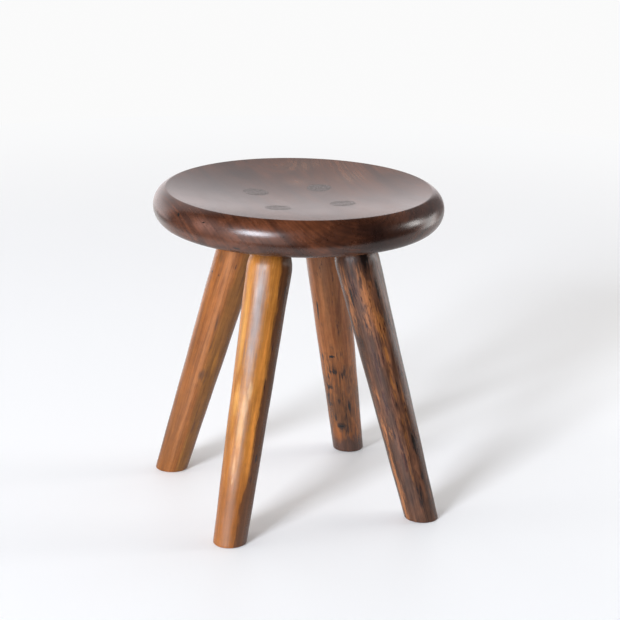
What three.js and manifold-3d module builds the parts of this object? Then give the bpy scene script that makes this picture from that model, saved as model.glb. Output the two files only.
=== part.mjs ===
// A round wooden stool: a thick turned seat with a dished top, on four splayed, tapered legs.
// Each leg ends in a round tenon that runs right through the seat, is trimmed flush with the
// dish and is spread there by a hardwood wedge. There is no other fixing.
// Millimetres, +Z up. The origin is on the floor under the middle of the seat, and the front
// of the stool faces -Y. The legs stand on the diagonals, between the axes.

import * as THREE from 'three';
import { mergeVertices } from 'three/addons/utils/BufferGeometryUtils.js';
import Module from 'manifold-3d';

const wasm = await Module();
wasm.setup();

// Driving dimensions of the seat

const seatHeight = 450;           // floor to the crisp rim
const seatDiameter = 400;         // across the widest part of the roll
const rimInset = 17.3;            // how far inside that the crisp rim lies, where the dish starts
const rollRadius = 26.5;          // radius of the half-round edge
const dishDepth = 17.5;           // how far the middle of the dish lies below the rim
const middleThickness = 50;       // wood left between the dish and the domed underside

// Driving dimensions of the legs

const legSplay = THREE.MathUtils.degToRad(17);  // lean of a leg away from upright
const footCircleRadius = 199;     // middle of the stool to the middle of a foot, on the floor
const footDiameter = 45.2;        // the leg at the floor, square to its length
const shoulderDiameter = 61.4;    // the leg where its shoulder starts to round over
const shoulderLength = 34;        // how far below the seat the rounding starts
const tenonDiameter = 34;         // the round tenon through the seat
const footEase = 1.5;             // sanded edge round the sole

// Driving dimensions of the wedges

const wedgeThickness = 4;         // at the wide end, which shows in the dish
const wedgeTip = 1.2;             // at the narrow end
const wedgeDepth = 34;            // down into the tenon from the dish

// Clearances

const fitClearance = 0.3;         // between a leg and the seat, and between a wedge and its kerf

// How finely the round forms are faceted, and how close two corners are before they are one

const weldDistance = 1e-4;
const seatSegments = 96;
const legSegments = 40;
const dishSteps = 6;
const rollSteps = 13;
const shoulderSteps = 6;

// Finishes

const seatColour = 0x4f3026;
const wedgeColour = 0x5e4f45;
const satin = 0.34;

// Where each leg stands, as a bearing anticlockwise from +X, and the colour of its wood

const stations = [
  { name: 'front_left', bearing: 225, colour: 0xa8703c },
  { name: 'front_right', bearing: 315, colour: 0x4a3022 },
  { name: 'back_right', bearing: 45, colour: 0x754a2c },
  { name: 'back_left', bearing: 135, colour: 0x9c5f30 },
];

// Shapes that follow from the driving dimensions

const rimRadius = seatDiameter / 2 - rimInset;
const tenonRadius = tenonDiameter / 2;
const footRadius = footDiameter / 2;
const shoulderRadius = shoulderDiameter / 2;

// The roll is a circle that is as wide as the seat and passes through the rim
const rollCentreRadius = seatDiameter / 2 - rollRadius;
const rimAngle = Math.acos((rimRadius - rollCentreRadius) / rollRadius);
const rollCentreHeight = seatHeight - rollRadius * Math.sin(rimAngle);

// The underside is a shallow dome that meets the roll without a crease
const domeBottom = seatHeight - dishDepth - middleThickness;
const domeEdgeSlope = 2 * Math.atan((rollCentreHeight - rollRadius - domeBottom) / rollCentreRadius);
const domeRadius = rollCentreRadius + rollRadius * Math.sin(domeEdgeSlope);
const domeRise = rollCentreHeight - rollRadius * Math.cos(domeEdgeSlope) - domeBottom;

// Height gained at distance r from the axis along a circular arc that leaves the axis level
// and has climbed by rise when it reaches reach
function arcHeight(r, reach, rise) {
  const edgeSlope = 2 * Math.atan(rise / reach);
  const slope = Math.asin((r / reach) * Math.sin(edgeSlope));
  return r * Math.tan(slope / 2);
}

const dishHeight = (r) => seatHeight - dishDepth + arcHeight(r, rimRadius, dishDepth);
const undersideHeight = (r) => domeBottom + arcHeight(r, domeRadius, domeRise);

// Distance along a leg's axis, from the floor, at which it meets a surface of the seat. Each
// pass takes the surface's height where the last pass ended, and closes in on the answer.
function alongLegTo(surfaceHeight) {
  const passes = 20;
  let height = seatHeight;
  for (let pass = 0; pass < passes; pass += 1) {
    height = surfaceHeight(footCircleRadius - height * Math.tan(legSplay));
  }
  return height / Math.cos(legSplay);
}

const legToUnderside = alongLegTo(undersideHeight);
const legToDish = alongLegTo(dishHeight);
const shoulderStart = legToUnderside - shoulderLength;

// Evenly spaced points along a profile given as height over distance from the axis
function sweepOut(heightAt, reach, steps) {
  const points = [];
  for (let i = 0; i <= steps; i += 1) {
    const r = (reach * i) / steps;
    points.push(new THREE.Vector2(r, heightAt(r)));
  }
  return points;
}

// Points along a circular arc, both ends included
function arc(centre, radius, from, to, steps) {
  const points = [];
  for (let i = 0; i <= steps; i += 1) {
    const angle = from + ((to - from) * i) / steps;
    const x = centre.x + radius * Math.cos(angle);
    points.push(new THREE.Vector2(x, centre.y + radius * Math.sin(angle)));
  }
  return points;
}

// A profile, from the bottom of the axis round to the top of it, turned about the Z axis
function turned(profile, segments) {
  const geometry = new THREE.LatheGeometry(profile, segments);
  geometry.rotateX(Math.PI / 2);
  return geometry;
}

// A closed geometry as a solid that can be cut and joined
function solidOf(geometry) {
  const bare = geometry.clone();
  bare.deleteAttribute('normal');
  bare.deleteAttribute('uv');
  const merged = mergeVertices(bare, weldDistance);
  const corners = merged.index.array;
  const kept = [];
  for (let i = 0; i < corners.length; i += 3) {
    const [a, b, c] = [corners[i], corners[i + 1], corners[i + 2]];
    if (a !== b && b !== c && c !== a) {
      kept.push(a, b, c);
    }
  }
  const mesh = new wasm.Mesh({
    numProp: 3,
    vertProperties: new Float32Array(merged.attributes.position.array),
    triVerts: new Uint32Array(kept),
  });
  return new wasm.Manifold(mesh);
}

// A finished solid as a flat-shaded geometry
function geometryOf(solid) {
  const mesh = solid.getMesh();
  const geometry = new THREE.BufferGeometry();
  geometry.setAttribute('position', new THREE.BufferAttribute(mesh.vertProperties, 3));
  geometry.setIndex(new THREE.BufferAttribute(mesh.triVerts, 1));
  const flat = geometry.toNonIndexed();
  flat.computeVertexNormals();
  return flat;
}

// Moves a geometry from a leg's own frame, foot at the origin and length along Z, to the
// station frame, where that leg stands out along +X and leans back over the middle
function leanOver(geometry) {
  geometry.rotateY(-legSplay);
  geometry.translate(footCircleRadius, 0, 0);
  return geometry;
}

// Everything above the dish, which trims the tenons and the wedges flush
function spaceAboveDish() {
  const top = seatHeight + seatDiameter / 4;
  const profile = sweepOut(dishHeight, rimRadius, dishSteps);
  profile.push(new THREE.Vector2(rimRadius, top));
  profile.push(new THREE.Vector2(0, top));
  return solidOf(turned(profile, seatSegments));
}

// Everything above the underside, grown by the clearance, which scribes the shoulders to it
function spaceAboveUnderside() {
  const top = seatHeight + seatDiameter / 4;
  const lowered = (r) => undersideHeight(r) - fitClearance;
  const profile = sweepOut(lowered, domeRadius, dishSteps);
  profile.push(new THREE.Vector2(domeRadius, top));
  profile.push(new THREE.Vector2(0, top));
  return solidOf(turned(profile, seatSegments));
}

// A cylinder on a leg's axis, from one distance along it to another
function legCylinder(radius, from, to) {
  const profile = [
    new THREE.Vector2(0, from),
    new THREE.Vector2(radius, from),
    new THREE.Vector2(radius, to),
    new THREE.Vector2(0, to),
  ];
  return leanOver(turned(profile, legSegments));
}

// The leg below its tenon: a straight taper, then a long round shoulder that closes in on the
// tenon. It runs past the floor and past the underside, where it is trimmed.
function legBody() {
  const belowFloor = footRadius;
  const taper = Math.atan((shoulderRadius - footRadius) / shoulderStart);
  const overrun = tenonRadius * Math.tan(legSplay);
  const start = new THREE.Vector2(shoulderRadius, shoulderStart);
  const end = new THREE.Vector2(tenonRadius, legToUnderside + overrun);

  // The arc leaves the taper without a crease and ends at the tenon
  const inward = new THREE.Vector2(-Math.cos(taper), Math.sin(taper));
  const chord = end.clone().sub(start);
  const roundRadius = chord.lengthSq() / (2 * chord.dot(inward));
  const centre = start.clone().addScaledVector(inward, roundRadius);
  const from = start.clone().sub(centre);
  const to = end.clone().sub(centre);
  const shoulder = arc(
    centre,
    roundRadius,
    Math.atan2(from.y, from.x),
    Math.atan2(to.y, to.x),
    shoulderSteps,
  );

  const profile = [
    new THREE.Vector2(0, -belowFloor),
    new THREE.Vector2(footRadius - belowFloor * Math.tan(taper), -belowFloor),
    ...shoulder,
    new THREE.Vector2(0, end.y),
  ];
  return solidOf(leanOver(turned(profile, legSegments)));
}

// A cone standing on the floor that cuts the sole level and eases the edge all round it
function footCone() {
  const reach = seatHeight + seatDiameter / 4;
  const sole = footRadius - footEase;
  const profile = [
    new THREE.Vector2(0, 0),
    new THREE.Vector2(sole, 0),
    new THREE.Vector2(sole + reach, reach),
    new THREE.Vector2(0, reach),
  ];
  const geometry = turned(profile, legSegments);
  geometry.scale(1 / Math.cos(legSplay), 1, 1);
  geometry.translate(footCircleRadius, 0, 0);
  return solidOf(geometry);
}

// A tapered slab across a tenon, long way along X, which is across the grain of the seat.
// With no margin it is the wedge, and with one it is the kerf that takes the wedge.
function wedgeSlab(bearing, margin) {
  const proud = tenonRadius;
  const tipAt = legToDish - wedgeDepth;
  const flare = (wedgeThickness - wedgeTip) / 2 / wedgeDepth;
  const halfAt = (distance) => wedgeTip / 2 + flare * (distance - tipAt) + margin;
  const bottom = tipAt - margin;
  const top = legToDish + proud;
  const outline = new THREE.Shape([
    new THREE.Vector2(-halfAt(bottom), bottom),
    new THREE.Vector2(halfAt(bottom), bottom),
    new THREE.Vector2(halfAt(top), top),
    new THREE.Vector2(-halfAt(top), top),
  ]);
  const width = 2 * tenonDiameter;
  const geometry = new THREE.ExtrudeGeometry(outline, { depth: width, bevelEnabled: false });
  geometry.translate(0, 0, -width / 2);
  geometry.rotateX(Math.PI / 2);
  const acrossGrain = Math.atan2(-Math.sin(bearing), Math.cos(bearing) * Math.cos(legSplay));
  geometry.rotateZ(acrossGrain - Math.PI / 2);
  return solidOf(leanOver(geometry));
}

// The seat, turned as one piece and then bored for the tenons

const seatProfile = [
  ...sweepOut(undersideHeight, domeRadius, dishSteps).slice(0, -1),
  ...arc(
    new THREE.Vector2(rollCentreRadius, rollCentreHeight),
    rollRadius,
    domeEdgeSlope - Math.PI / 2,
    rimAngle,
    rollSteps,
  ),
  ...sweepOut(dishHeight, rimRadius, dishSteps).reverse().slice(1),
];

function boredSeat() {
  let seat = solidOf(turned(seatProfile, seatSegments));
  const past = tenonDiameter;
  for (const { bearing } of stations) {
    const bore = legCylinder(
      tenonRadius + fitClearance,
      legToUnderside - past,
      legToDish + past,
    );
    bore.rotateZ(THREE.MathUtils.degToRad(bearing));
    seat = seat.subtract(solidOf(bore));
  }
  return seat;
}

// A leg in its station frame, with its tenon, trimmed at both ends and sawn for the wedge
const aboveDish = spaceAboveDish();
const scribedBody = legBody().subtract(spaceAboveUnderside()).intersect(footCone());

function leg(bearing) {
  const tenon = solidOf(legCylinder(tenonRadius, shoulderStart, legToDish + tenonDiameter));
  return scribedBody
    .add(tenon)
    .subtract(aboveDish)
    .subtract(wedgeSlab(bearing, fitClearance));
}

// A wedge in its station frame, as wide as the tenon and flush with the dish
function wedge(bearing) {
  const reach = solidOf(legCylinder(tenonRadius, shoulderStart, legToDish + tenonDiameter));
  return wedgeSlab(bearing, 0).intersect(reach).subtract(aboveDish);
}

// The finished stool

function part(name, solid, colour) {
  const material = new THREE.MeshStandardMaterial({ color: colour, roughness: satin, metalness: 0 });
  const mesh = new THREE.Mesh(geometryOf(solid), material);
  mesh.name = name;
  return mesh;
}

const stool = new THREE.Group();
stool.add(part('seat', boredSeat(), seatColour));
for (const { name, bearing, colour } of stations) {
  const turn = THREE.MathUtils.degToRad(bearing);
  const station = new THREE.Group();
  station.rotation.z = turn;
  station.add(part(`leg_${name}`, leg(turn), colour));
  station.add(part(`wedge_${name}`, wedge(turn), wedgeColour));
  stool.add(station);
}

export default stool;
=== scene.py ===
import math

import bpy
import numpy as np
from mathutils import Matrix, Vector


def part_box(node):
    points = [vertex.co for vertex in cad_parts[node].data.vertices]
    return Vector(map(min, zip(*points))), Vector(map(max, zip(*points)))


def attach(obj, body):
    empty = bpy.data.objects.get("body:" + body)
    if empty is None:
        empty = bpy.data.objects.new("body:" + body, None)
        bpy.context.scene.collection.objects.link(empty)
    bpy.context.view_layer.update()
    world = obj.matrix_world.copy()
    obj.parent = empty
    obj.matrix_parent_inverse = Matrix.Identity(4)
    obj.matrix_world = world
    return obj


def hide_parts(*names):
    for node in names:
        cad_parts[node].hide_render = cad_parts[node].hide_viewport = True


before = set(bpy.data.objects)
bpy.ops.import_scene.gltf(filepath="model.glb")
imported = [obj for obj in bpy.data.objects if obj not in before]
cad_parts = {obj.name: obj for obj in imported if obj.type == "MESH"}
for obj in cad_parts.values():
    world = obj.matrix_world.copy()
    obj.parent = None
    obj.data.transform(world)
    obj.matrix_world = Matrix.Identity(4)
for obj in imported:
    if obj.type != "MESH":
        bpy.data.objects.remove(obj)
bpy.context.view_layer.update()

# The seat: one thick round of dark red-brown hardwood, turned with a dished top, a half-round
# edge and a shallow dome below. The grain runs from front to back, and four leaning mortises
# are bored right through it. It is sanded smooth and finished with a satin lacquer.

seat_low, seat_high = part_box("seat")
seat_radius = (seat_high.x - seat_low.x) / 2
seat_height = seat_high.z
dome_bottom = seat_low.z
rim_inset = 0.0173
roll_radius = 0.0265
dish_depth = 0.0175
rim_ease = 0.0008
hard_edge = math.radians(28)
seat_columns = 256

rim_radius = seat_radius - rim_inset
roll_centre_radius = seat_radius - roll_radius
rim_angle = math.acos((rim_radius - roll_centre_radius) / roll_radius)
roll_centre_height = seat_height - roll_radius * math.sin(rim_angle)
dome_edge_slope = 2 * math.atan((roll_centre_height - roll_radius - dome_bottom) / roll_centre_radius)
dome_radius = roll_centre_radius + roll_radius * math.sin(dome_edge_slope)
dome_rise = roll_centre_height - roll_radius * math.cos(dome_edge_slope) - dome_bottom


def arc_height(r, reach, rise):
    """Height gained at distance r along a circular arc that leaves the axis level and has
    climbed by rise at reach: r times the tangent of half the arc's slope there."""
    edge_slope = 2 * np.arctan(rise / reach)
    slope = np.arcsin(np.clip(r / reach, 0, 1) * np.sin(edge_slope))
    return r * np.tan(slope / 2)


def dish_height(r):
    """The dished top: the arc above its lowest point in the middle."""
    return seat_height - dish_depth + arc_height(r, rim_radius, dish_depth)


def underside_height(r):
    """The domed underside: the arc above its lowest point in the middle."""
    return dome_bottom + arc_height(r, dome_radius, dome_rise)


def corner_curve(before, corner, after, steps):
    """Points of a quadratic curve that leaves one side of a corner and joins the other: the
    three points weighted by (1 - t) squared, 2 t (1 - t) and t squared."""
    t = np.linspace(0, 1, steps).reshape(-1, *[1] * np.ndim(corner))
    return (1 - t) ** 2 * before + 2 * t * (1 - t) * corner + t**2 * after


def seat_profile():
    """Radius and height from the middle of the underside, out along the dome, round the roll,
    over the eased rim and in along the dish to its middle."""
    dome_r = np.linspace(0, dome_radius, 60)[:-1]
    dome = np.stack((dome_r, underside_height(dome_r)), -1)
    rim_turn = rim_ease / roll_radius
    turn = np.linspace(dome_edge_slope - math.pi / 2, rim_angle - rim_turn, 64)
    roll_r = roll_centre_radius + roll_radius * np.cos(turn)
    roll = np.stack((roll_r, roll_centre_height + roll_radius * np.sin(turn)), -1)
    dish_r = np.linspace(rim_radius - rim_ease, 0, 84)
    dish = np.stack((dish_r, dish_height(dish_r)), -1)
    rim = corner_curve(roll[-1], np.array((rim_radius, seat_height)), dish[0], 6)
    return np.concatenate((dome, roll, rim[1:-1], dish))


def closed_surface(name, rows):
    """A closed mesh from rings of points, each ring anticlockwise seen from the far end. The
    first and last rings are single points, and neighbouring rings are joined by quads."""
    columns = rows.shape[1]
    here = np.arange(columns)
    after = np.roll(here, -1)
    points = np.concatenate((rows[0, :1], rows[1:-1].reshape(-1, 3), rows[-1, :1]))
    below = 1 + columns * np.arange(len(rows) - 3)[:, None]
    above = below + columns
    quads = np.stack((below + here, below + after, above + after, above + here), -1)
    first = np.zeros(columns, int)
    last = np.full(columns, len(points) - 1)
    top = last - columns
    start = np.stack((first, 1 + after, 1 + here), -1)
    end = np.stack((top + here, top + after, last), -1)
    mesh = bpy.data.meshes.new(name)
    mesh.from_pydata(points.tolist(), [], start.tolist() + quads.reshape(-1, 4).tolist() + end.tolist())
    piece = bpy.data.objects.new(name, mesh)
    bpy.context.scene.collection.objects.link(piece)
    return piece


def turned_surface(name, profile, columns):
    """The profile turned once about the Z axis: x and y are the radius times the cosine and
    sine of the bearing."""
    bearing = np.linspace(0, 2 * math.pi, columns, endpoint=False)
    radius, height = profile[:, :1], profile[:, 1:]
    x = radius * np.cos(bearing)
    y = radius * np.sin(bearing)
    return closed_surface(name, np.stack((x, y, height + 0 * x), -1))


def carve(piece, tool):
    """Cuts a tool out of a piece, and uses the tool up."""
    step = piece.modifiers.new("carve", "BOOLEAN")
    step.operation = "DIFFERENCE"
    step.solver = "EXACT"
    step.object = tool
    graph = bpy.context.evaluated_depsgraph_get()
    carved = bpy.data.meshes.new_from_object(piece.evaluated_get(graph))
    piece.modifiers.clear()
    piece.data = carved
    carved.name = piece.name
    bpy.data.objects.remove(tool)


def smooth(piece, crease):
    """Shades a piece smooth, with a hard edge wherever its faces meet at more than crease."""
    piece.data.shade_smooth()
    piece.data.set_sharp_from_angle(angle=crease)


# Each leg stands out on its own bearing and leans back over the middle, so the mortises are
# bored along the same lines.

leg_bearings = {"front_left": 225, "front_right": 315, "back_right": 45, "back_left": 135}
leg_splay = math.radians(17)
foot_circle_radius = 0.199
tenon_radius = 0.017
mortise_clearance = 0.0001


def leg_point(bearing, radius, angle, along):
    """Points of a leg given by radius and angle round its axis and by distance along it from
    the floor, as places in the stool's frame. Angle 0 faces outwards."""
    out = np.array((math.cos(bearing), math.sin(bearing), 0))
    up = np.array((0, 0, 1))
    axis = math.cos(leg_splay) * up - math.sin(leg_splay) * out
    face = math.cos(leg_splay) * out + math.sin(leg_splay) * up
    side = np.cross(axis, face)
    x = (radius * np.cos(angle) + 0 * along)[..., None]
    y = (radius * np.sin(angle) + 0 * along)[..., None]
    z = (along + 0 * radius * angle)[..., None]
    return foot_circle_radius * out + x * face + y * side + z * axis


def along_leg_to(surface_height, radius, angle):
    """Distance along a leg at which a point at that radius and angle meets a surface of the
    seat: each pass takes the surface's height at the place where the last pass ended."""
    along = np.full(np.shape(angle), seat_height)
    for _ in range(40):
        reach = radius(along) if callable(radius) else radius
        x = reach * np.cos(angle)
        out = foot_circle_radius + x * math.cos(leg_splay) - along * math.sin(leg_splay)
        from_middle = np.hypot(out, reach * np.sin(angle))
        along = (surface_height(from_middle) - x * math.sin(leg_splay)) / math.cos(leg_splay)
    return along


leg_to_underside = float(along_leg_to(underside_height, 0, np.zeros(1))[0])
leg_to_dish = float(along_leg_to(dish_height, 0, np.zeros(1))[0])


def leg_rod(name, bearing, radius, low, high):
    """A plain cylinder on a leg's axis, from one distance along it to another."""
    angle = np.linspace(0, 2 * math.pi, 128, endpoint=False)
    reach = np.array((0, radius, radius, 0))[:, None]
    along = np.array((low, low, high, high))[:, None]
    return closed_surface(name, leg_point(bearing, reach + 0 * angle, angle, along + 0 * angle))


def place(tree, kind, settings=None, sockets=None):
    """A shader node with its settings, and with its sockets set or linked."""
    node = tree.nodes.new("ShaderNode" + kind)
    for name, value in (settings or {}).items():
        setattr(node, name, value)
    for name, value in (sockets or {}).items():
        if isinstance(value, bpy.types.NodeSocket):
            tree.links.new(value, node.inputs[name])
        else:
            node.inputs[name].default_value = value
    return node


def calc(tree, operation, *values):
    """The result of one sum on numbers or sockets."""
    return place(tree, "Math", {"operation": operation}, dict(enumerate(values))).outputs[0]


def times(tree, first, second):
    """The product of two numbers or sockets."""
    return calc(tree, "MULTIPLY", first, second)


def add_share(tree, value, share, base):
    """A base with a share of a value added to it."""
    return calc(tree, "MULTIPLY_ADD", value, share, base)


def noise(tree, vector, scale, detail=2.0, roughness=0.5):
    """Soft noise from 0 to 1, mostly near a half, at so many waves to the metre."""
    sockets = {"Vector": vector, "Scale": scale, "Detail": detail, "Roughness": roughness}
    return place(tree, "TexNoise", None, sockets).outputs[0]


def squeeze(tree, vector, factors):
    """A vector with each of its parts multiplied."""
    return place(tree, "VectorMath", {"operation": "MULTIPLY"}, {0: vector, 1: factors}).outputs[0]


def length(tree, vector):
    """How long a vector is."""
    return place(tree, "VectorMath", {"operation": "LENGTH"}, {0: vector}).outputs["Value"]


def fade(tree, value, low, high, to_low=0.0, to_high=1.0):
    """A smooth step from one level to another as a value goes from low to high."""
    sockets = {"Value": value, "From Min": low, "From Max": high, "To Min": to_low, "To Max": to_high}
    return place(tree, "MapRange", {"interpolation_type": "SMOOTHSTEP"}, sockets).outputs[0]


def blend(tree, factor, under, over, mode="MIX"):
    """One colour laid over another."""
    settings = {"data_type": "RGBA", "blend_type": mode, "clamp_factor": True}
    return place(tree, "Mix", settings, {0: factor, 6: under, 7: over}).outputs[2]


def lighten(tree, colour, factor):
    """A colour multiplied by one number, lighter above 1 and darker below it."""
    grey = place(tree, "CombineColor", None, {0: factor, 1: factor, 2: factor}).outputs[0]
    return blend(tree, 1.0, colour, grey, "MULTIPLY")


def wood_grain_group():
    """What the seat and the legs share: the distance from a pith that runs along Z, with growth
    bands about it, fibres, open pores and a ripple across the fibres, and their relief."""
    tree = bpy.data.node_groups.new("wood_grain", "ShaderNodeTree")
    inputs = (
        ("Place", "NodeSocketVector", (0, 0, 0)),
        ("Pith X", "NodeSocketFloat", 0.0),
        ("Pith Y", "NodeSocketFloat", 0.0),
        ("Bands per metre", "NodeSocketFloat", 150.0),
        ("Sway", "NodeSocketFloat", 0.012),
    )
    for name, kind, value in inputs:
        socket = tree.interface.new_socket(name, in_out="INPUT", socket_type=kind)
        socket.default_value = value
    outputs = ("Ring", "Bands", "Fibres", "Pores", "Ripple", "Relief")
    for name in outputs:
        tree.interface.new_socket(name, in_out="OUTPUT", socket_type="NodeSocketFloat")
    given = tree.nodes.new("NodeGroupInput").outputs
    result = tree.nodes.new("NodeGroupOutput").inputs

    wide_sway = noise(tree, squeeze(tree, given["Place"], (1, 1, 0.2)), 9.0, 2.0)
    narrow_sway = noise(tree, squeeze(tree, given["Place"], (1, 1, 0.06)), 70.0, 2.0)
    split = place(tree, "SeparateXYZ", None, {0: given["Place"]}).outputs
    from_pith_x = calc(tree, "SUBTRACT", split[0], given["Pith X"])
    from_pith_y = calc(tree, "SUBTRACT", split[1], given["Pith Y"])
    squared = add_share(tree, from_pith_y, from_pith_y, times(tree, from_pith_x, from_pith_x))
    sway = times(tree, calc(tree, "SUBTRACT", wide_sway, 0.5), given["Sway"])
    ring = calc(tree, "ADD", calc(tree, "SQRT", squared), sway)
    ring = add_share(tree, calc(tree, "SUBTRACT", narrow_sway, 0.5), 0.0016, ring)
    turns = times(tree, ring, given["Bands per metre"])
    bands = place(tree, "TexNoise", {"noise_dimensions": "1D"},
                  {"W": turns, "Scale": 1.0, "Detail": 3.0, "Roughness": 0.62}).outputs[0]

    fibres = noise(tree, squeeze(tree, given["Place"], (1, 1, 0.025)), 900.0, 3.0, 0.6)
    pore_noise = noise(tree, squeeze(tree, given["Place"], (1, 1, 0.07)), 1500.0, 1.0)
    pores = fade(tree, pore_noise, 0.6, 0.7)
    ripple = noise(tree, squeeze(tree, given["Place"], (0.3, 0.3, 1)), 170.0, 2.0)
    relief = add_share(tree, pores, -0.7, times(tree, fibres, 0.6))

    for name, value in zip(outputs, (ring, bands, fibres, pores, ripple, relief)):
        tree.links.new(value, result[name])
    return tree


wood_grain = wood_grain_group()


def grain_node(tree, vector, pith, bands_per_metre, sway):
    """The shared wood grain, set for one piece of wood."""
    node = tree.nodes.new("ShaderNodeGroup")
    node.node_tree = wood_grain
    tree.links.new(vector, node.inputs["Place"])
    node.inputs["Pith X"].default_value = pith[0]
    node.inputs["Pith Y"].default_value = pith[1]
    node.inputs["Bands per metre"].default_value = bands_per_metre
    node.inputs["Sway"].default_value = sway
    return node.outputs


def lacquered(material, colour, roughness, relief, depth):
    """The satin lacquer that every piece is finished with, over its own colour and relief."""
    tree = material.node_tree
    bump = place(tree, "Bump", None, {"Strength": 1.0, "Distance": depth, "Height": relief})
    sockets = {"Base Color": colour, "Roughness": roughness, "Normal": bump.outputs[0], "IOR": 1.55}
    shader = place(tree, "BsdfPrincipled", None, sockets)
    output = tree.nodes.new("ShaderNodeOutputMaterial")
    tree.links.new(shader.outputs[0], output.inputs["Surface"])


def new_material(name):
    """An empty node material."""
    material = bpy.data.materials.new(name)
    material.use_nodes = True
    material.node_tree.nodes.clear()
    return material


def near(tree, value, middle, width):
    """1 where a value is at its middle, falling to 0 at width on both sides of it."""
    off = calc(tree, "ABSOLUTE", calc(tree, "SUBTRACT", value, middle))
    return fade(tree, off, width, 0.0)


def seat_point(bearing, roll_angle):
    """A place on the half-round edge, by bearing and by angle up from its widest part."""
    reach = roll_centre_radius + roll_radius * math.cos(math.radians(roll_angle))
    height = roll_centre_height + roll_radius * math.sin(math.radians(roll_angle))
    return (reach * math.cos(math.radians(bearing)), reach * math.sin(math.radians(bearing)), height)


def centred(tree, vector, middle, turn=(0, 0, 0), half_size=(1, 1, 1)):
    """A place as seen from a middle, turned to face along it and measured in half sizes."""
    sockets = {"Vector": vector, "Location": middle, "Rotation": turn, "Scale": half_size}
    return place(tree, "Mapping", {"vector_type": "TEXTURE"}, sockets).outputs[0]


def edge_mark(tree, place_on_seat, bearing, roll_angle, slant, long, wide):
    """A small dark check in the edge: an oval on the roll, turned by slant from level, so long
    and so wide, with a ragged outline."""
    outwards = (0, 0, math.radians(bearing))
    level = centred(tree, place_on_seat, seat_point(bearing, roll_angle), outwards)
    turned = centred(tree, level, (0, 0, 0), (math.radians(slant), 0, 0), (long, long / 2, wide / 2))
    rag = noise(tree, place_on_seat, 700.0, 2.0)
    return fade(tree, calc(tree, "ADD", length(tree, turned), rag), 1.8, 1.3)


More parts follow.
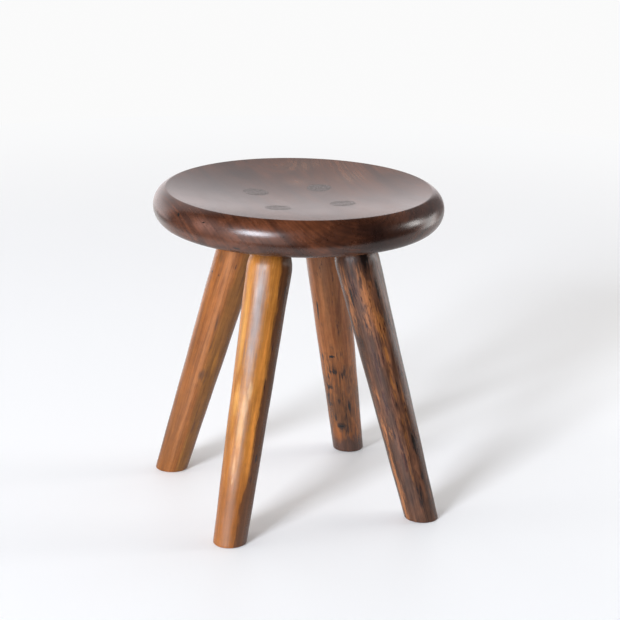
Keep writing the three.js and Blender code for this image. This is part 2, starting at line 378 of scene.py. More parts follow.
def seat_material():
    """The pith lies over the seat, so the layers curve up on both sides of it. The wood is
    nearly black in one patch of the front edge, redder towards the back on the right, and
    clouded with tan and dark spots in the dish, which is glossiest in its middle."""
    pith_x, pith_height = 0.022, 0.526
    relief_depth = 0.000003
    dark_layers = ((0.1427, 0.0075, 0.6), (0.2234, 0.0035, 0.5), (0.2303, 0.0025, 0.35))
    black = (0.006, 0.004, 0.0035, 1)
    deep = (0.016, 0.0052, 0.0032, 1)
    dark_red = (0.038, 0.0110, 0.0055, 1)
    brown = (0.050, 0.0160, 0.0078, 1)
    red = (0.108, 0.033, 0.0132, 1)
    bright_red = (0.132, 0.043, 0.016, 1)
    reddish = (0.135, 0.042, 0.0175, 1)
    # A pale grey-pink used for painted sheen on the roll.
    painted_sheen_pink = (0.165, 0.072, 0.050, 1)
    tan = (0.175, 0.082, 0.046, 1)

    # Each patch: colour, middle, half sizes, how far its edge strays, strength
    patches = (
        (bright_red, (0.13, 0.11, 0.44), (0.14, 0.17, 0.09), 0.7, 1.0),
        (dark_red, (-0.11, 0.07, 0.44), (0.13, 0.12, 0.03), 2.0, 1.0),
        (tan, (0.06, 0.145, 0.442), (0.045, 0.03, 0.03), 1.2, 0.5),
        (tan, (0.10, 0.07, 0.442), (0.03, 0.035, 0.03), 1.2, 0.5),
        (tan, (0.03, 0.08, 0.442), (0.03, 0.02, 0.03), 1.2, 0.5),
        (deep, (-0.045, 0.125, 0.442), (0.035, 0.04, 0.03), 1.2, 0.8),
        (deep, (-0.105, 0.06, 0.442), (0.035, 0.04, 0.03), 1.2, 0.75),
        (deep, (0.15, 0.04, 0.442), (0.035, 0.04, 0.03), 1.2, 0.5),
        (reddish, (-0.10, -0.17, 0.444), (0.13, 0.05, 0.028), 0.5, 1.0),
        (deep, (0.036, -0.20, 0.43), (0.062, 0.055, 0.06), 0.7, 1.0),
        # Painted sheen: a pale grey-pink patch on the front left of the roll, standing in for reflected
        # light.
        (painted_sheen_pink, (-0.168, -0.107, 0.434), (0.036, 0.036, 0.013), 0.6, 0.7),
    )

    # Each check in the edge: bearing, angle up the roll, slant, length, width
    edge_marks = (
        (-163.4, 28.0, -35, 0.0060, 0.0030),
        (-148.7, 26.4, 8, 0.0040, 0.0016),
        (-134.1, -36.0, -6, 0.010, 0.0022),
    )

    material = new_material("seat_wood")
    tree = material.node_tree
    place_on_seat = place(tree, "TexCoord").outputs["Object"]
    grain_runs_back = {"Vector": place_on_seat, "Rotation": (math.pi / 2, 0, 0)}
    along_grain = place(tree, "Mapping", None, grain_runs_back).outputs[0]
    pith = (pith_x, -pith_height)
    grain = grain_node(tree, along_grain, pith, bands_per_metre=300.0, sway=0.010)
    drift = noise(tree, squeeze(tree, place_on_seat, (1, 0.5, 1)), 24.0, 2.5, 0.55)
    cloud = noise(tree, squeeze(tree, place_on_seat, (1, 0.3, 1)), 26.0, 5.0, 0.62)
    wisp = noise(tree, squeeze(tree, place_on_seat, (1, 0.12, 1)), 130.0, 4.0, 0.6)

    colour = blend(tree, fade(tree, cloud, 0.38, 0.64), brown, red)
    for tint, middle, half_size, stray, strength in patches:
        distance = length(tree, centred(tree, place_on_seat, middle, half_size=half_size))
        distance = add_share(tree, drift, stray, distance)
        inside = fade(tree, distance, 1.0 + stray / 2, stray / 2)
        colour = blend(tree, times(tree, inside, strength), colour, tint)
    lines = fade(tree, grain["Bands"], 0.60, 0.36)
    colour = blend(tree, times(tree, lines, 0.34), colour, deep)
    broken = fade(tree, cloud, 0.25, 0.5)
    for middle, width, strength in dark_layers:
        layer = times(tree, near(tree, grain["Ring"], middle, width), strength)
        colour = blend(tree, times(tree, layer, broken), colour, deep)
    fibre_shade = fade(tree, grain["Fibres"], 0.3, 0.7, 0.92, 1.08)
    wisp_shade = fade(tree, wisp, 0.32, 0.68, 0.84, 1.16)
    colour = lighten(tree, colour, times(tree, fibre_shade, wisp_shade))
    colour = blend(tree, times(tree, grain["Pores"], 0.28), colour, deep)
    for mark in edge_marks:
        colour = blend(tree, edge_mark(tree, place_on_seat, *mark), colour, black)

    from_axis = length(tree, squeeze(tree, place_on_seat, (1, 1, 0)))
    wisp_dulling = fade(tree, wisp, 0.3, 0.7, 0.0, 0.02)
    roughness = calc(tree, "ADD", wisp_dulling, fade(tree, drift, 0.3, 0.7, 0.22, 0.19))
    roughness = calc(tree, "ADD", roughness, fade(tree, from_axis, 0.175, 0.195, 0.0, 0.06))
    lacquered(material, colour, roughness, grain["Relief"], relief_depth)
    return material


seat = turned_surface("seat_round", seat_profile(), seat_columns)
for name, bearing in leg_bearings.items():
    overrun = 2 * tenon_radius
    low, high = leg_to_underside - overrun, leg_to_dish + overrun
    bore = leg_rod("mortise", math.radians(bearing), tenon_radius + mortise_clearance, low, high)
    carve(seat, bore)
smooth(seat, hard_edge)
seat.data.materials.append(seat_material())
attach(seat, "root")
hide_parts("seat")

# The legs: four round tapered legs, each from a different plank, so one is golden, one nearly
# black, one brown and one amber. The top rounds over in a long shoulder that is scribed to the
# underside of the seat, and a round tenon goes on through the seat and ends flush in the dish.

foot_radius = 0.0226
shoulder_radius = 0.0307
shoulder_length = 0.034
shoulder_gap = 0.00015
sole_ease = 0.0015
hand_unevenness = 0.00012
leg_columns = 160
plank_step = 1.7
hand_relief = 0.00004
shoulder_start = leg_to_underside - shoulder_length
end_grain_start = leg_to_underside + 0.03


def leg_radius(along):
    """Radius at a distance along the leg: a straight taper, then a circular arc that leaves it
    without a crease and closes in on the tenon just above the underside."""
    taper = math.atan((shoulder_radius - foot_radius) / shoulder_start)
    start = Vector((shoulder_radius, shoulder_start))
    end = Vector((tenon_radius, leg_to_underside + tenon_radius * math.tan(leg_splay)))
    inward = Vector((-math.cos(taper), math.sin(taper)))
    chord = end - start
    round_radius = chord.length_squared / (2 * chord.dot(inward))
    centre = start + inward * round_radius
    straight = foot_radius + (shoulder_radius - foot_radius) * along / shoulder_start
    lift = np.clip(along - centre.y, -round_radius, round_radius)
    rounded = centre.x + np.sqrt(round_radius**2 - lift**2)
    rounded = np.where(along > end.y, tenon_radius, rounded)
    return np.where(along < shoulder_start, straight, rounded)


def leg_rows(bearing, wander):
    """Rings of one leg from the middle of its sole to the middle of its tenon's end. The side
    runs between the level cut at the floor and the scribed shoulder, and strays in and out by
    a few waves, as hand work does."""
    angle = np.linspace(0, 2 * math.pi, leg_columns, endpoint=False)
    cut = along_leg_to(lambda r: 0 * r, leg_radius, angle)
    scribe = along_leg_to(lambda r: underside_height(r) - shoulder_gap, leg_radius, angle)
    seated = along_leg_to(lambda r: underside_height(r) - shoulder_gap, tenon_radius, angle)

    t = np.linspace(0, 1, 220)[:, None]
    along = cut + sole_ease + (scribe - cut - sole_ease) * t
    two_waves = np.sin(2 * angle + wander + 9 * t)
    three_waves = np.sin(3 * angle - 2 * wander - 14 * t)
    five_waves = np.sin(5 * angle + wander + 31 * t)
    waves = two_waves + three_waves + five_waves
    ends = np.clip(6 * t, 0, 1) * np.clip(8 * (1 - t), 0, 1)
    side = leg_point(bearing, leg_radius(along) + hand_unevenness * waves * ends, angle, along)

    corner = leg_point(bearing, leg_radius(cut), angle, cut)
    sole_radius = leg_radius(cut) - sole_ease
    sole_edge = leg_point(bearing, sole_radius, angle, along_leg_to(lambda r: 0 * r, sole_radius, angle))
    ease = corner_curve(sole_edge, corner, side[0], 6)[1:-1]
    spread = np.linspace(0, 1, 8)[:, None]
    sole = sole_edge.mean(0) + spread[..., None] * (sole_edge - sole_edge.mean(0))

    up = np.linspace(0, 1, 30)[:, None]
    end_along = along_leg_to(dish_height, tenon_radius, angle)
    tenon = leg_point(bearing, tenon_radius, angle, seated + (end_along - seated) * up)
    inward = np.linspace(tenon_radius, 0, 10)[1:, None]
    cap_along = along_leg_to(dish_height, inward, angle + 0 * inward)
    cap = leg_point(bearing, inward + 0 * angle, angle, cap_along)
    return np.concatenate((sole, ease, side, tenon, cap))


# Each tenon is sawn down its middle, across the grain of the seat, to take its wedge. The saw
# cut and the wedge taper alike, with a hair of room between them.

wedge_thickness = 0.004
wedge_tip = 0.0012
wedge_depth = 0.034
kerf_clearance = 0.00008


def wedge_slab(name, bearing, reach, margin, top):
    """A slab that thins down into a tenon, its long way across the grain of the seat and its
    ends on a circle of radius reach. top gives how far along the leg each point of it ends."""
    tip = leg_to_dish - wedge_depth - margin
    flare = (wedge_thickness - wedge_tip) / 2 / wedge_depth
    across_grain = math.atan2(-math.sin(bearing), math.cos(bearing) * math.cos(leg_splay))
    turn = np.linspace(0, 2 * math.pi, leg_columns, endpoint=False)
    up = np.concatenate((np.zeros(2), np.linspace(0, 1, 24), np.ones(10)))[:, None]
    inward = np.concatenate(((0, 0.5), np.ones(24), np.linspace(0.9, 0, 10)))[:, None]
    along = tip + up * (wedge_depth + 0 * turn)
    for _ in range(3):
        half = wedge_tip / 2 + margin + flare * (along - tip - margin)
        x = inward * np.clip(reach * np.cos(turn), -half, half)
        y = inward * reach * np.sin(turn)
        radius = np.hypot(x, y)
        angle = np.arctan2(y, x) + across_grain - math.pi / 2
        along = tip + up * (top(radius, angle) - tip)
    return closed_surface(name, leg_point(bearing, radius, angle, along))


def above_dish(radius, angle):
    """A level well clear of the tenon's end, where the saw comes in."""
    return leg_to_dish + tenon_radius + 0 * radius


def in_leg_frame(mesh, bearing):
    """Each vertex in its leg's own frame: x outwards, y to the side and z up along the leg."""
    place_in_stool = np.empty(3 * len(mesh.vertices))
    mesh.vertices.foreach_get("co", place_in_stool)
    origin = leg_point(bearing, np.zeros(1), np.zeros(1), np.zeros(1))[0]
    face = leg_point(bearing, np.ones(1), np.zeros(1), np.zeros(1))[0] - origin
    axis = leg_point(bearing, np.zeros(1), np.zeros(1), np.ones(1))[0] - origin
    offset = place_in_stool.reshape(-1, 3) - origin
    return np.stack((offset @ face, offset @ np.cross(axis, face), offset @ axis), -1)


def store(mesh, name, kind, values):
    """Keeps one value for each vertex as a named attribute for the material."""
    kept = mesh.attributes.new(name, kind, "POINT")
    part = "vector" if kind == "FLOAT_VECTOR" else "value"
    kept.data.foreach_set(part, values.astype(np.float32).ravel())


def stored(tree, name):
    """What a mesh keeps for its vertices under a name."""
    return place(tree, "Attribute", {"attribute_name": name}).outputs


def soft_marks(angle, along, marks):
    """The strongest of several soft ovals at each vertex. Each mark is an angle and a height,
    a half width in degrees, a half height in millimetres and a strength, and fades with the
    square of the distance from its middle."""
    field = np.zeros(len(angle))
    for mark_angle, height, half_width, half_height, strength in marks:
        across = (np.degrees(angle) - mark_angle + 180) % 360 - 180
        distance = (across / half_width) ** 2 + ((along * 1000 - height) / half_height) ** 2
        field = np.maximum(field, strength * np.exp(-distance))
    return field


def leg_material(name, body, glow, pith, contrast, layers):
    """Lacquered wood with fine bands, fibres and pores. Each layer is a differently coloured
    part of the wood: its colour, how far its edge strays, how soft the edge is and its marks.
    The end of the tenon is end grain, with duller rings whose grey is partly painted reflection."""
    pore_dark = (0.03, 0.014, 0.008, 1)
    # The end grain's grey-brown is partly its own colour and partly painted reflection.
    end_dark_and_sheen = (0.058, 0.041, 0.035, 1)
    end_light_and_sheen = (0.078, 0.056, 0.048, 1)
    end_pore = (0.022, 0.013, 0.010, 1)

    material = new_material(name)
    tree = material.node_tree
    place_on_leg = stored(tree, "grain_place")["Vector"]
    grain = grain_node(tree, place_on_leg, pith, bands_per_metre=420.0, sway=0.006)
    rag = noise(tree, squeeze(tree, place_on_leg, (1, 1, 0.11)), 420.0, 4.0, 0.66)
    blotch = noise(tree, squeeze(tree, place_on_leg, (1, 1, 0.25)), 110.0, 4.0, 0.62)
    shift = add_share(tree, rag, 1.3, calc(tree, "SUBTRACT", blotch, 1.15))
    tone = noise(tree, squeeze(tree, place_on_leg, (1, 1, 0.06)), 190.0, 3.0, 0.6)

    colour = blend(tree, fade(tree, blotch, 0.35, 0.65), body, glow)
    lines = fade(tree, grain["Bands"], 0.6, 0.38)
    darker = blend(tree, 1.0, colour, (0.72, 0.62, 0.56, 1), "MULTIPLY")
    colour = blend(tree, times(tree, lines, 0.6), colour, darker)
    for layer, (tint, stray, soft, _) in layers.items():
        ragged = add_share(tree, shift, stray, stored(tree, layer)["Fac"])
        colour = blend(tree, fade(tree, ragged, 0.5 - soft, 0.5 + soft), colour, tint)
    fibre_shade = fade(tree, grain["Fibres"], 0.3, 0.7, 1 - contrast, 1 + contrast)
    tone_shade = fade(tree, tone, 0.35, 0.65, 1 - 1.4 * contrast, 1 + 1.4 * contrast)
    ripple_shade = fade(tree, grain["Ripple"], 0.35, 0.65, 0.97, 1.03)
    shade = times(tree, times(tree, fibre_shade, tone_shade), ripple_shade)
    colour = lighten(tree, colour, shade)
    colour = blend(tree, times(tree, grain["Pores"], 0.25), colour, pore_dark)

    end_grain = stored(tree, "tenon_end")["Fac"]
    end_rings = blend(tree, fade(tree, grain["Bands"], 0.36, 0.64), end_dark_and_sheen, end_light_and_sheen)
    speckled = blend(tree, times(tree, grain["Pores"], 0.25), end_rings, end_pore)
    colour = blend(tree, end_grain, colour, speckled)
    rubbing = noise(tree, squeeze(tree, place_on_leg, (1, 1, 0.01)), 3000.0, 1.0)
    relief = add_share(tree, rubbing, 4.8, grain["Relief"])
    roughness = add_share(tree, grain["Fibres"], 0.1, 0.2)
    roughness = add_share(tree, end_grain, 0.015, roughness)
    lacquered(material, colour, roughness, relief, hand_relief)
    return material


def heartwood(angle, along):
    """The golden leg's dark side: all of it between two edges that wander up the leg, given in
    degrees at a few heights in millimetres, fading over a few degrees."""
    heights = (0, 55, 100, 150, 230, 300, 385)
    near_edge = np.interp(along * 1000, heights, (43, 39, 60, 54, 62, 60, 56))
    far_edge = np.interp(along * 1000, heights, (185, 190, 200, 196, 205, 200, 195))
    middle, half = (near_edge + far_edge) / 2, (far_edge - near_edge) / 2
    across = np.abs((np.degrees(angle) - middle + 180) % 360 - 180)
    return np.clip(0.5 + (half - across) / 22, 0, 1)


def olive_side(angle, along):
    """The amber leg's duller side, past an edge that wanders up the leg."""
    edge = np.interp(along * 1000, (0, 150, 200, 290, 380), (134, 124, 118, 120, 132))
    across = (np.degrees(angle) - edge + 180) % 360 - 180
    return np.clip(0.5 + across / 24, 0, 1) * np.clip((150 - across) / 40, 0, 1)


# The four woods. Each layer: colour, stray, softness, and the function or the marks that place
# it. A mark: angle in degrees, height in millimetres, their half widths, and a strength.

black = (0.012, 0.008, 0.007, 1)
golden_wood = dict(
    name="leg_wood_golden",
    body=(0.345, 0.128, 0.02, 1),
    glow=(0.42, 0.165, 0.028, 1),
    pith=(0.06, -0.03),
    contrast=0.11,
    layers=dict(
        reddish_foot=((0.255, 0.083, 0.014, 1), 0.6, 0.4, (
            (0, 15, 400, 100, 1), (-45, 80, 16, 34, 0.8), (-4, 120, 9, 60, 0.55))),
        straw_patches=((0.47, 0.215, 0.05, 1), 0.6, 0.3, (
            (-27, 290, 12, 75, 1), (-20, 190, 14, 30, 0.8), (8, 165, 14, 40, 0.75),
            (-150, 250, 14, 90, 0.8))),
        gold_edges=((0.48, 0.178, 0.032, 1), 0.6, 0.3, (
            (43, 265, 8, 60, 1), (46, 150, 9, 62, 1), (52, 210, 6, 40, 0.8), (36, 330, 5, 20, 0.6))),
        # Partly painted sheen: this duller, greyer layer lies just where the softbox's reflection runs down
        # the leg, greying the wood's own darker colour there.
        dull_top_and_painted_sheen=((0.165, 0.082, 0.048, 1), 0.6, 0.45, ((9, 315, 19, 88, 0.95), (-13, 262, 2.5, 34, 0.8))),
        rusty_lines=((0.25, 0.085, 0.01, 1), 0.5, 0.3, (
            (18, 120, 3.5, 45, 0.9), (14, 68, 4, 16, 0.7), (24, 172, 3, 26, 0.6))),
        cream_streaks=((0.47, 0.235, 0.08, 1), 0.5, 0.3, (
            (20, 208, 8, 13, 1), (12, 185, 10, 20, 0.8), (4, 150, 12, 26, 0.62), (3, 105, 6, 20, 0.7),
            (4, 84, 3, 8, 0.8), (-120, 140, 12, 60, 0.8))),
        heartwood=((0.105, 0.036, 0.01, 1), 0.8, 0.22, heartwood),
        dark_flecks=((0.035, 0.013, 0.008, 1), 0.7, 0.25, (
            (73, 118, 6, 7, 0.9), (68, 268, 3, 9, 0.8), (62, 220, 2.5, 14, 0.7), (82, 340, 4, 16, 0.7),
            (66, 90, 4, 8, 0.6), (130, 160, 9, 50, 0.8))),
    ),
)
dark_wood = dict(
    name="leg_wood_dark",
    body=(0.063, 0.027, 0.015, 1),
    glow=(0.11, 0.045, 0.023, 1),
    pith=(0.05, 0.02),
    contrast=0.22,
    layers=dict(
        brown_sides=((0.145, 0.06, 0.032, 1), 1.7, 0.35, (
            (-2, 220, 18, 260, 0.7), (-85, 330, 40, 45, 0.75), (-75, 140, 26, 60, 0.55),
            (-55, 200, 22, 170, 0.55), (60, 160, 26, 120, 0.75), (150, 240, 24, 110, 0.7))),
        rusty_patches=((0.24, 0.09, 0.032, 1), 2.1, 0.22, (
            (-80, 290, 13, 26, 0.78), (-66, 335, 13, 44, 0.82), (-113, 322, 12, 50, 0.78),
            (-55, 290, 8, 22, 0.7), (-121, 70, 12, 78, 1), (-106, 187, 10, 9, 0.62),
            (-95, 134, 11, 15, 0.7), (-113, 140, 9, 15, 0.75), (-128, 20, 12, 20, 0.8),
            (120, 110, 12, 90, 0.75))),
        rusty_streaks=((0.205, 0.075, 0.02, 1), 1.9, 0.22, (
            (-48, 262, 9, 60, 0.68), (-50, 200, 8, 42, 0.6), (-47, 135, 9, 38, 0.58),
            (-63, 125, 6, 36, 0.55), (-35, 300, 7, 38, 0.55), (-90, 195, 6, 24, 0.4),
            (-27, 175, 7, 40, 0.5), (-60, 70, 6, 28, 0.45))),
        black_patches=((0.02, 0.01, 0.008, 1), 1.5, 0.22, (
            (-103, 334, 6, 20, 0.9), (-48, 375, 13, 17, 1), (-87, 362, 9, 12, 0.7),
            (-28, 112, 11, 18, 0.85), (-55, 168, 7, 13, 0.7), (-30, 330, 5, 26, 0.65),
            (-112, 265, 12, 14, 0.55), (-37, 205, 5, 34, 0.55), (-50, 40, 14, 34, 0.6),
            (-22, 62, 9, 16, 0.55), (-72, 140, 4, 40, 0.5), (-20, 250, 5, 40, 0.5),
            (200, 180, 16, 70, 0.75))),
        dark_streaks=((0.036, 0.01, 0.006, 1), 1.9, 0.22, (
            (-84, 215, 11, 130, 0.66), (-90, 345, 14, 50, 0.6), (-70, 120, 7, 70, 0.6),
            (-12, 230, 14, 120, 0.62), (-14, 100, 9, 34, 0.7), (-62, 235, 5, 60, 0.5))),
        black_specks=(black, 0.9, 0.2, (
            (-103, 334, 3.5, 12, 0.8), (-42, 378, 9, 8, 0.8), (-27, 112, 8, 12, 0.6))),
    ),
)
brown_wood = dict(
    name="leg_wood_brown",
    body=(0.26, 0.083, 0.02, 1),
    glow=(0.32, 0.11, 0.029, 1),
    pith=(0.06, 0.04),
    contrast=0.13,
    layers=dict(
        light_streaks=((0.36, 0.13, 0.036, 1), 0.8, 0.4, (
            (-174, 290, 14, 90, 0.8), (-150, 110, 10, 34, 0.7), (20, 200, 30, 90, 0.7))),
        red_lines=((0.19, 0.06, 0.013, 1), 0.6, 0.35, (
            (-153, 300, 4, 120, 0.62), (-143, 300, 3, 130, 0.4), (-196, 330, 8, 40, 0.6))),
        mottling=((0.15, 0.06, 0.024, 1), 1.8, 0.25, ((-170, 95, 400, 78, 0.68),)),
        brown_blotches=((0.125, 0.045, 0.015, 1), 1.3, 0.3, (
            (-170, 10, 80, 26, 1), (-124, 88, 14, 30, 0.85), (-206, 100, 14, 32, 0.75),
            (-170, 54, 26, 14, 0.8), (-170, 160, 26, 14, 0.7), (-195, 128, 16, 14, 0.7),
            (-135, 60, 16, 24, 0.6), (-172, 95, 70, 80, 0.6), (80, 90, 40, 70, 0.7))),
        squiggles=((0.04, 0.017, 0.01, 1), 1.6, 0.22, (
            (-168, 14, 34, 14, 0.62), (-201, 265, 5, 18, 0.85), (-170, 157, 20, 6, 0.8),
            (-146, 150, 10, 9, 0.65), (-193, 147, 9, 7, 0.7), (-195, 127, 17, 6, 0.82),
            (-207, 108, 8, 9, 0.8), (-204, 95, 10, 8, 0.75), (-170, 56, 24, 7, 0.88),
            (-186, 70, 6, 12, 0.75), (-133, 90, 9, 12, 0.8), (-148, 48, 12, 9, 0.75),
            (-209, 180, 6, 10, 0.75), (-118, 40, 10, 24, 0.6), (-160, 105, 26, 5, 0.5),
            (-150, 75, 9, 8, 0.5))),
        dark_foot=((0.085, 0.04, 0.027, 1), 1, 0.3, ((-170, 0, 400, 46, 0.95),)),
        black_checks=(black, 0.8, 0.2, (
            (-201, 271, 3.6, 12, 1), (-205, 255, 2.4, 10, 0.8), (-173, 185, 10, 2.6, 1),
            (-180, 157, 9, 2.6, 0.7), (-196, 127, 9, 2.4, 0.7), (-170, 56, 14, 2.8, 0.8),
            (-133, 91, 5, 5, 0.7))),
    ),
)
amber_wood = dict(
    name="leg_wood_amber",
    body=(0.222, 0.068, 0.01, 1),
    glow=(0.27, 0.09, 0.016, 1),
    pith=(0.06, 0.03),
    contrast=0.12,
    layers=dict(
        reddish_side=((0.172, 0.056, 0.01, 1), 0.6, 0.45, (
            (70, 60, 60, 110, 0.85), (58, 220, 12, 90, 0.6), (80, 170, 6, 60, 0.5))),
        light_stripe=((0.325, 0.12, 0.034, 1), 0.5, 0.45, (
            (104, 200, 8, 260, 0.66), (98, 350, 10, 30, 0.7), (114, 320, 5, 40, 0.5))),
        olive_side=((0.205, 0.078, 0.013, 1), 0.5, 0.4, olive_side),
        yellow_streaks=((0.32, 0.125, 0.016, 1), 0.7, 0.3, (
            (148, 195, 10, 24, 0.8), (150, 290, 6, 40, 0.5), (133, 30, 6, 60, 0.5))),
        brown_streaks=((0.115, 0.045, 0.014, 1), 0.9, 0.3, (
            (115, 258, 5, 24, 0.85), (117, 172, 9, 10, 0.85), (133, 165, 3, 24, 0.7), (143, 88, 6, 16, 0.8),
            (118, 225, 3, 20, 0.6), (128, 220, 3, 60, 0.6), (140, 120, 3, 90, 0.6), (70, 355, 16, 12, 0.6),
            (148, 340, 4, 40, 0.6), (-60, 200, 20, 90, 0.7))),
        small_checks=((0.035, 0.014, 0.01, 1), 0.5, 0.2, (
            (51, 327, 7, 1.8, 0.95), (80, 329, 3, 2.6, 0.75), (119, 350, 2.5, 6, 0.7),
            (116, 250, 2, 8, 0.7))),
    ),
)
leg_woods = {
    "front_left": golden_wood,
    "front_right": dark_wood,
    "back_right": brown_wood,
    "back_left": amber_wood,
}

for number, (name, wood) in enumerate(leg_woods.items()):
    bearing = math.radians(leg_bearings[name])
    wander = 1.3 + 2.1 * number
    leg = closed_surface("turned_leg_" + name, leg_rows(bearing, wander))
    kerf = wedge_slab("kerf", bearing, 2 * tenon_radius, kerf_clearance, above_dish)
    carve(leg, kerf)
    smooth(leg, hard_edge)
    local = in_leg_frame(leg.data, bearing)
    angle = np.arctan2(local[:, 1], local[:, 0])
    along = local[:, 2]
    store(leg.data, "grain_place", "FLOAT_VECTOR", local + np.array((0, 0, plank_step * number)))
    store(leg.data, "tenon_end", "FLOAT", np.where(along > end_grain_start, 1.0, 0.0))
    for layer, (_, _, _, marks) in wood["layers"].items():
        field = marks(angle, along) if callable(marks) else soft_marks(angle, along, marks)
        store(leg.data, layer, "FLOAT", field)
    leg.data.materials.append(leg_material(**wood))
    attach(leg, "root")
    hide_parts("leg_" + name)

# The wedges: a thin wedge of hard wood is driven into the end of each tenon to spread it in its
# mortise, then planed and sanded flush with the dish under the same lacquer.


def wedge_material():
    """Dull brown wood, its grey partly painted reflection, with its fibres running down the wedge, which show
    as end grain above.
    """
    # Grey-brown, partly the wood's own colour and partly painted reflection.
    dull_brown_and_sheen = (0.064, 0.044, 0.036, 1)
    lighter_brown_and_sheen = (0.082, 0.058, 0.048, 1)
    pore_brown = (0.03, 0.02, 0.016, 1)
    material = new_material("wedge_wood")
    tree = material.node_tree
    place_on_wedge = stored(tree, "grain_place")["Vector"]
    grain = grain_node(tree, place_on_wedge, (0.05, 0.02), bands_per_metre=900.0, sway=0.004)
    colour = blend(tree, fade(tree, grain["Bands"], 0.38, 0.62), dull_brown_and_sheen, lighter_brown_and_sheen)
    colour = blend(tree, times(tree, grain["Pores"], 0.6), colour, pore_brown)
    roughness = add_share(tree, grain["Fibres"], 0.1, 0.22)
    lacquered(material, colour, roughness, grain["Relief"], hand_relief)
    return material


def flush_with_dish(radius, angle):
    """Distance along the leg at which each point of the wedge's end lies in the dish."""
    return along_leg_to(dish_height, radius, angle)


wedge_wood = wedge_material()
for number, (name, degrees) in enumerate(leg_bearings.items()):
    bearing = math.radians(degrees)
    wedge = wedge_slab("driven_wedge_" + name, bearing, tenon_radius, 0, flush_with_dish)
    smooth(wedge, hard_edge)
    local = in_leg_frame(wedge.data, bearing)
    store(wedge.data, "grain_place", "FLOAT_VECTOR", local + np.array((0, 0, plank_step * number)))
    wedge.data.materials.append(wedge_wood)
    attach(wedge, "root")
    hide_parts("wedge_" + name)

# The floor is a round of white paper that ends a little way in front of the stool. It lies just
# under the soles, takes the stool's soft shadows and fades into the white around it.

camera_bearing = math.radians(-110.19)
floor_radius = 1.65
floor_ahead = 0.55
floor_gap = 0.0002


def from_camera(azimuth, distance, height):
    """A place given by its azimuth from the camera's side, anticlockwise from above."""
    bearing = camera_bearing + math.radians(azimuth)
    return Vector((distance * math.cos(bearing), distance * math.sin(bearing), height))


def facing(tree, direction, other):
    """How far one direction reaches along another."""
    return place(tree, "VectorMath", {"operation": "DOT_PRODUCT"}, {0: direction, 1: other}).outputs["Value"]


def mix_shader(tree, factor, under, over):
    """One finish laid over another."""
    return place(tree, "MixShader", None, {0: factor, 1: under, 2: over}).outputs[0]


def floor_material():
    """White paper, fading to plain white towards its edge where the camera looks at it. In
    reflections it is dimmer near the stool and on the left, except ahead, where the softbox
    lights it. From below it is see-through to the camera, so the underside can be seen."""
    material = new_material("white_paper")
    tree = material.node_tree
    place_on_floor = place(tree, "TexCoord").outputs["Object"]
    sockets = {"Base Color": (0.955, 0.953, 0.955, 1), "Roughness": 0.5, "Specular IOR Level": 0.25}
    paper = place(tree, "BsdfPrincipled", None, sockets).outputs[0]
    white = place(tree, "Emission", None, {"Color": (0.955, 0.958, 0.965, 1), "Strength": 1.0}).outputs[0]
    off_middle = length(tree, place_on_floor)
    ahead = facing(tree, place_on_floor, from_camera(-30, 1, 0))
    to_left = facing(tree, place_on_floor, from_camera(-72, 1, 0))
    to_right_rear = facing(tree, place_on_floor, from_camera(105, 1, 0))
    path = place(tree, "LightPath").outputs

    to_white = times(tree, fade(tree, off_middle, 1.1, 2.7), path["Is Camera Ray"])
    finish = mix_shader(tree, to_white, paper, white)

    not_ahead = times(tree, fade(tree, ahead, 0.3, 0.0), fade(tree, off_middle, 0.4, 1.1, 0.6, 1.0))
    left = fade(tree, to_left, 0.5, 0.85)
    shown = fade(tree, off_middle, 0.4, 1.1, 0.27, 1.35)
    shown = times(tree, shown, fade(tree, left, 0.0, 1.0, 1.0, 0.3))
    shown = times(tree, shown, fade(tree, to_right_rear, 0.3, 0.9, 1.0, 0.55))
    dim = place(tree, "Emission", None, {"Color": (1, 1, 1, 1), "Strength": shown}).outputs[0]
    to_dim = times(tree, calc(tree, "MAXIMUM", not_ahead, left), path["Is Glossy Ray"])
    finish = mix_shader(tree, to_dim, finish, dim)

    from_below = place(tree, "NewGeometry").outputs["Backfacing"]
    to_clear = times(tree, from_below, path["Is Camera Ray"])
    finish = mix_shader(tree, to_clear, finish, place(tree, "BsdfTransparent").outputs[0])
    tree.links.new(finish, tree.nodes.new("ShaderNodeOutputMaterial").inputs["Surface"])
    return material


def paper_floor():
    """A flat disc with its middle behind the stool, as seen from the camera."""
    turn = np.linspace(0, 2 * math.pi, 256, endpoint=False)
    middle = from_camera(180, floor_radius - floor_ahead, 0)
    x = middle.x + floor_radius * np.cos(turn)
    y = middle.y + floor_radius * np.sin(turn)
    ring = np.stack((x, y, 0 * turn - floor_gap), -1)
    mesh = bpy.data.meshes.new("paper_floor")
    mesh.from_pydata(ring.tolist(), [], [list(range(len(turn)))])
    floor = bpy.data.objects.new("paper_floor", mesh)
    bpy.context.scene.collection.objects.link(floor)
    mesh.materials.append(floor_material())
    return floor


paper_floor()

# The light comes from a large softbox to the front left, a fainter panel on the left and two
# on the right at the back. The softbox is made of one lamp for its light, which gives the
# shadows, and a larger, dimmer one for what the lacquer reflects of it.

aim_height = 0.3


def softbox(name, azimuth, distance, height, size, brightness, colour, reflected=True, lights=True):
    """A flat lamp facing the stool. Its power is four times its area times its brightness. It
    may be left out of reflections, or light nothing and only be reflected."""
    lamp = bpy.data.lights.new(name, "AREA")
    lamp.shape = "RECTANGLE"
    lamp.size, lamp.size_y = size
    lamp.energy = 4 * size[0] * size[1] * brightness
    lamp.color = colour
    holder = bpy.data.objects.new(name, lamp)
    holder.location = from_camera(azimuth, distance, height)
    aim = Vector((0, 0, aim_height)) - holder.location
    holder.rotation_euler = aim.to_track_quat("-Z", "Y").to_euler()
    holder.visible_camera = False
    holder.visible_glossy = reflected
    holder.visible_diffuse = lights
    bpy.context.scene.collection.objects.link(holder)


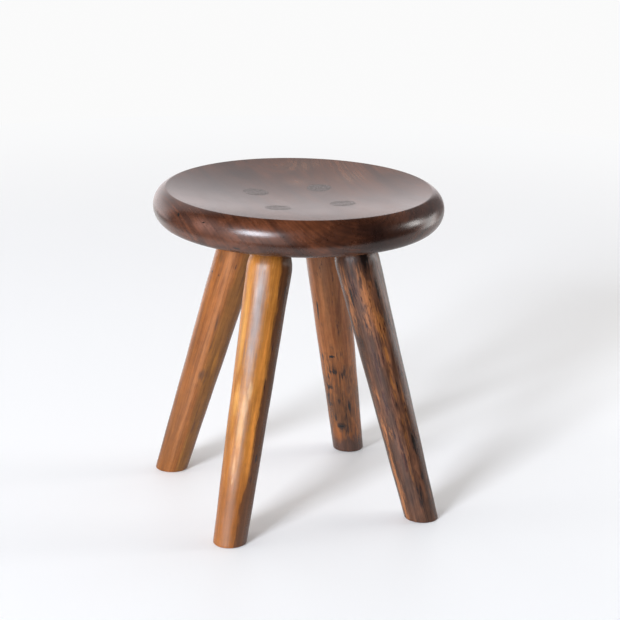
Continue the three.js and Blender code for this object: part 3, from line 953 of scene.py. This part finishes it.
softbox("key_softbox", -33, 10.0, 3.5, (2.7, 2.6), 48.0, (0.87, 0.92, 1.0), reflected=False)
softbox("key_reflection", -34, 10.0, 3.8, (4.0, 3.7), 21.5, (0.80, 0.89, 1.0), lights=False)
softbox("left_panel", -78, 5.0, 1.6, (1.8, 2.1), 2.6, (1.0, 1.0, 1.0), reflected=False)
softbox("right_rear_strip", 101.5, 5.0, 1.45, (1.1, 1.4), 8.5, (1.0, 0.98, 0.96))
softbox("right_rear_panel", 117, 1.5, 0.3, (0.5, 0.6), 2.4, (1.0, 0.98, 0.96))


def surroundings():
    """Plain white wherever the camera looks. The lacquer reflects a white sweep behind on the
    left, fainter glows on both sides and a bright floor ahead. The light that only shades the
    stool comes from all round and mostly from low down, less of it from the front right."""
    world = bpy.data.worlds.new("studio")
    bpy.context.scene.world = world
    world.use_nodes = True
    tree = world.node_tree
    tree.nodes.clear()
    towards = place(tree, "TexCoord").outputs["Generated"]
    rise = place(tree, "SeparateXYZ", None, {0: towards}).outputs[2]
    flat = squeeze(tree, towards, (1, 1, 0))
    level = place(tree, "VectorMath", {"operation": "NORMALIZE"}, {0: flat}).outputs[0]

    def sector(azimuth, half_width, soft):
        """1 within so many degrees of an azimuth, with soft sides."""
        outer = math.cos(math.radians(half_width + soft))
        inner = math.cos(math.radians(half_width - soft))
        return fade(tree, facing(tree, level, from_camera(azimuth, 1, 0)), outer, inner)

    def between(low, high, to_low=0.0, to_high=1.0):
        """A smooth step between two heights above the horizon, in degrees."""
        low_rise = math.sin(math.radians(low))
        high_rise = math.sin(math.radians(high))
        return fade(tree, rise, low_rise, high_rise, to_low, to_high)

    def choose(which, yes, no):
        """One value where which is 1, and another where it is 0."""
        return calc(tree, "ADD", times(tree, which, yes), times(tree, calc(tree, "SUBTRACT", 1.0, which), no))

    below_top = between(58, 40)
    sweep = times(tree, times(tree, sector(-160, 38, 3), below_top), between(9, 31, 1.3, 0.75))
    side_glow = times(tree, sector(-70, 34, 10), below_top)
    rear_glow = times(tree, sector(132, 26, 8), below_top)
    back_left = times(tree, sector(-146, 22, 8), fade(tree, rise, 0.3, 0.1))
    ahead = times(tree, sector(-32, 24, 10), fade(tree, rise, 0.12, 0.02))
    ahead = times(tree, ahead, fade(tree, rise, -0.6, -0.5))
    reflected = add_share(tree, back_left, 0.5, sweep)
    reflected = add_share(tree, ahead, 1.5, reflected)
    reflected = add_share(tree, side_glow, 0.3, reflected)
    reflected = add_share(tree, rear_glow, 0.3, reflected)
    dim_room = add_share(tree, sector(36, 50, 14), -0.75, 1.0)
    around = times(tree, between(62, 30, 0.23, 1.27), dim_room)

    path = place(tree, "LightPath").outputs
    seen = calc(tree, "MAXIMUM", path["Is Camera Ray"], path["Is Transmission Ray"])
    strength = choose(seen, 0.96, choose(path["Is Glossy Ray"], reflected, around))
    tint = blend(tree, path["Is Glossy Ray"], (1, 1, 1, 1), (1.03, 0.955, 0.965, 1))
    light = place(tree, "Background", None, {"Color": tint, "Strength": strength}).outputs[0]
    tree.links.new(light, tree.nodes.new("ShaderNodeOutputWorld").inputs["Surface"])


surroundings()

# The camera stands in front and a little to the left, well above the seat, and looks down at
# the stool through a long lens. Its place and lens come from the outlines in the photograph.

camera_distance = 2.5053
camera_height = 1.0487
camera_heading = math.radians(69.38)
camera_tilt = 0.3
camera_roll = 0.0233
picture_width = 620
focal_pixels = 1873.9


def studio_camera():
    """Looks along its heading, tilted down and rolled a little, with the lens that gives the
    focal length in pixels."""
    lens = bpy.data.cameras.new("studio_camera")
    lens.sensor_width = 36
    lens.lens = lens.sensor_width * focal_pixels / picture_width
    camera = bpy.data.objects.new("studio_camera", lens)
    turn = Matrix.Rotation(camera_heading - math.pi / 2, 4, "Z")
    tip = Matrix.Rotation(math.pi / 2 - camera_tilt, 4, "X")
    lean = Matrix.Rotation(camera_roll, 4, "Z")
    spot = from_camera(0, camera_distance, camera_height)
    camera.matrix_world = Matrix.Translation(spot) @ turn @ tip @ lean
    bpy.context.scene.collection.objects.link(camera)
    bpy.context.scene.camera = camera


studio_camera()
bpy.context.scene.view_settings.view_transform = "Standard"
